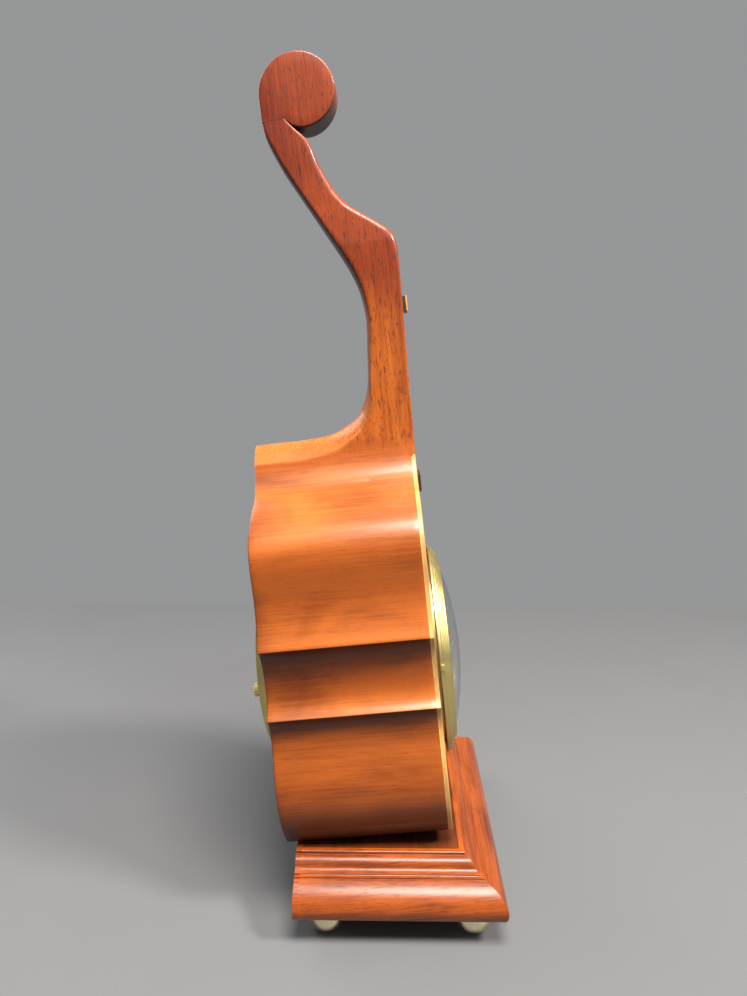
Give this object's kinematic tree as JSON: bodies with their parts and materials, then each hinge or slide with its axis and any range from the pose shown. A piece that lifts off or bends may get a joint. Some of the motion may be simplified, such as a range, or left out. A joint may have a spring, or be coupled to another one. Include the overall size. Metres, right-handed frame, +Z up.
{
  "type": "cello-shaped shelf timepiece",
  "caption": "Cello-shaped mahogany shelf timepiece leaning back on a moulded plinth, with a domed glass front door, a rear door and a geared drum movement.",
  "frame": {"origin": "on the shelf, in the middle of the object's width and depth, level with the undersides of the feet", "axes": "+X is the clock's left to right as seen by someone facing the dial, the dial faces -Y, +Z is up"},
  "size_m": [0.15, 0.1176, 0.3954],
  "materials": {
    "mahogany": "satin",
    "mahogany_plinth": "gloss",
    "boxwood": "satin",
    "brass": "satin",
    "brass_feet": "polished",
    "movement_brass": "brushed",
    "steel": "brushed",
    "blued_steel": "polished",
    "glass": "clear",
    "enamel": "gloss"
  },
  "bodies": {
    "case": {"base_core": "mahogany_plinth", "base_moulding_front": "mahogany_plinth", "base_moulding_left": "mahogany_plinth", "base_moulding_right": "mahogany_plinth", "base_back_strip": "mahogany_plinth", "foot_front_left": "brass_feet", "foot_front_right": "brass_feet", "foot_back_left": "brass_feet", "foot_back_right": "brass_feet", "foot_screws": "steel", "seat_wedge": "mahogany_plinth", "case_screws": "steel", "case_body": "mahogany", "front_board": "mahogany", "edge_stringing": "boxwood", "neck_scroll": "mahogany", "nut": "boxwood", "lower_saddle": "mahogany", "drum_shell": "brass", "drum_screws": "steel", "bezel_seat": "brass", "rear_ring": "brass", "dial": "enamel", "dial_feet": "movement_brass", "front_plate": "movement_brass", "back_plate": "movement_brass", "pillars": "movement_brass", "pillar_screws": "blued_steel", "click_spring": "blued_steel", "balance_cock": "movement_brass", "minute_stud": "steel"},
    "bezel_door": {"bezel_ring": "brass", "glass": "glass", "glass_retainer": "brass", "bezel_hinge_pin": "brass"},
    "rear_door_leaf": {"rear_door": "brass", "rear_hinge_pin": "brass"},
    "rear_latch_knob": {"rear_latch": "brass"},
    "minute_group": {"cannon_pinion": "steel", "minute_hand": "blued_steel", "hand_nut": "movement_brass"},
    "minute_wheel_group": {"minute_wheel": "movement_brass"},
    "hour_group": {"hour_wheel": "movement_brass", "hour_hand": "blued_steel"},
    "barrel_group": {"barrel": "movement_brass", "barrel_cover": "movement_brass", "mainspring": "blued_steel"},
    "winding_group": {"winding_arbor": "steel", "ratchet_wheel": "steel"},
    "click_lever": {"click": "steel"},
    "centre_group": {"centre_wheel": "movement_brass"},
    "third_group": {"third_wheel": "movement_brass"},
    "fourth_group": {"fourth_wheel": "movement_brass"},
    "escape_group": {"escape_wheel": "steel"},
    "lever_group": {"pallet_lever": "steel"},
    "balance_group": {"balance": "movement_brass", "hairspring": "blued_steel"},
    "regulator_arm": {"regulator": "steel"}
  },
  "joints": [
    {"name": "bezel_opens", "type": "hinge", "parent": "case", "child": "bezel_door", "pos_m": [0.0534, -0.03201, 0.11237], "axis": [0, 0.0924, 0.9957], "range_deg": [0, 105]},
    {"name": "rear_door_opens", "type": "hinge", "parent": "case", "child": "rear_door_leaf", "pos_m": [0.045, 0.05104, 0.10467], "axis": [0, -0.0924, -0.9957], "range_deg": [0, 100]},
    {"name": "rear_latch_turns", "type": "hinge", "parent": "rear_door_leaf", "child": "rear_latch_knob", "pos_m": [-0.036, 0.05283, 0.1045], "axis": [0, 0.9957, -0.0924], "range_deg": [-90, 0]},
    {"name": "minute_hand_turns", "type": "hinge", "parent": "case", "child": "minute_group", "pos_m": [0, -0.03181, 0.11235], "axis": [0, 0.9957, -0.0924], "continuous": true},
    {"name": "minute_wheel_turns", "type": "hinge", "parent": "case", "child": "minute_wheel_group", "pos_m": [0.006, -0.02878, 0.10164], "axis": [0, 0.9957, -0.0924], "continuous": true},
    {"name": "hour_hand_turns", "type": "hinge", "parent": "case", "child": "hour_group", "pos_m": [0, -0.03081, 0.11226], "axis": [0, 0.9957, -0.0924], "continuous": true},
    {"name": "escape_wheel_turns", "type": "hinge", "parent": "case", "child": "escape_group", "pos_m": [0.00001, -0.00036, 0.12659], "axis": [0, 0.9957, -0.0924], "continuous": true},
    {"name": "fourth_wheel_turns", "type": "hinge", "parent": "case", "child": "fourth_group", "pos_m": [0.0104, -0.00616, 0.12897], "axis": [0, 0.9957, -0.0924], "continuous": true},
    {"name": "third_wheel_turns", "type": "hinge", "parent": "case", "child": "third_group", "pos_m": [0.01247, -0.01222, 0.11777], "axis": [0, 0.9957, -0.0924], "continuous": true},
    {"name": "centre_wheel_turns", "type": "hinge", "parent": "case", "child": "centre_group", "pos_m": [0, -0.00492, 0.10986], "axis": [0, 0.9957, -0.0924], "continuous": true},
    {"name": "barrel_turns", "type": "hinge", "parent": "case", "child": "barrel_group", "pos_m": [-0.01247, -0.01504, 0.09827], "axis": [0, 0.9957, -0.0924], "continuous": true},
    {"name": "winding_square_turns", "type": "hinge", "parent": "case", "child": "winding_group", "pos_m": [-0.01247, 0.00289, 0.09661], "axis": [0, 0.9957, -0.0924], "continuous": true},
    {"name": "click_lifts", "type": "hinge", "parent": "case", "child": "click_lever", "pos_m": [-0.00737, 0.00271, 0.1055], "axis": [0, 0.9957, -0.0924], "range_deg": [-12, 0]},
    {"name": "lever_rocks", "type": "hinge", "parent": "case", "child": "lever_group", "pos_m": [-0.00728, -0.00024, 0.12787], "axis": [0, 0.9957, -0.0924], "range_deg": [-4, 4]},
    {"name": "balance_swings", "type": "hinge", "parent": "case", "child": "balance_group", "pos_m": [-0.01536, 0.0066, 0.12581], "axis": [0, 0.9957, -0.0924], "range_deg": [-135, 135], "stiffness_Nm_per_rad": 0.000008},
    {"name": "regulator_swings", "type": "hinge", "parent": "case", "child": "regulator_arm", "pos_m": [-0.01536, 0.01257, 0.12525], "axis": [0, 0.9957, -0.0924], "range_deg": [-20, 20]}
  ],
  "couplings": [
    {"joint": "minute_wheel_turns", "follows": "minute_hand_turns", "ratio": -0.33333},
    {"joint": "hour_hand_turns", "follows": "minute_hand_turns", "ratio": 0.083333},
    {"joint": "fourth_wheel_turns", "follows": "escape_wheel_turns", "ratio": -0.1},
    {"joint": "third_wheel_turns", "follows": "escape_wheel_turns", "ratio": 0.013333},
    {"joint": "centre_wheel_turns", "follows": "escape_wheel_turns", "ratio": -0.0016667},
    {"joint": "barrel_turns", "follows": "escape_wheel_turns", "ratio": 0.00027778}
  ]
}
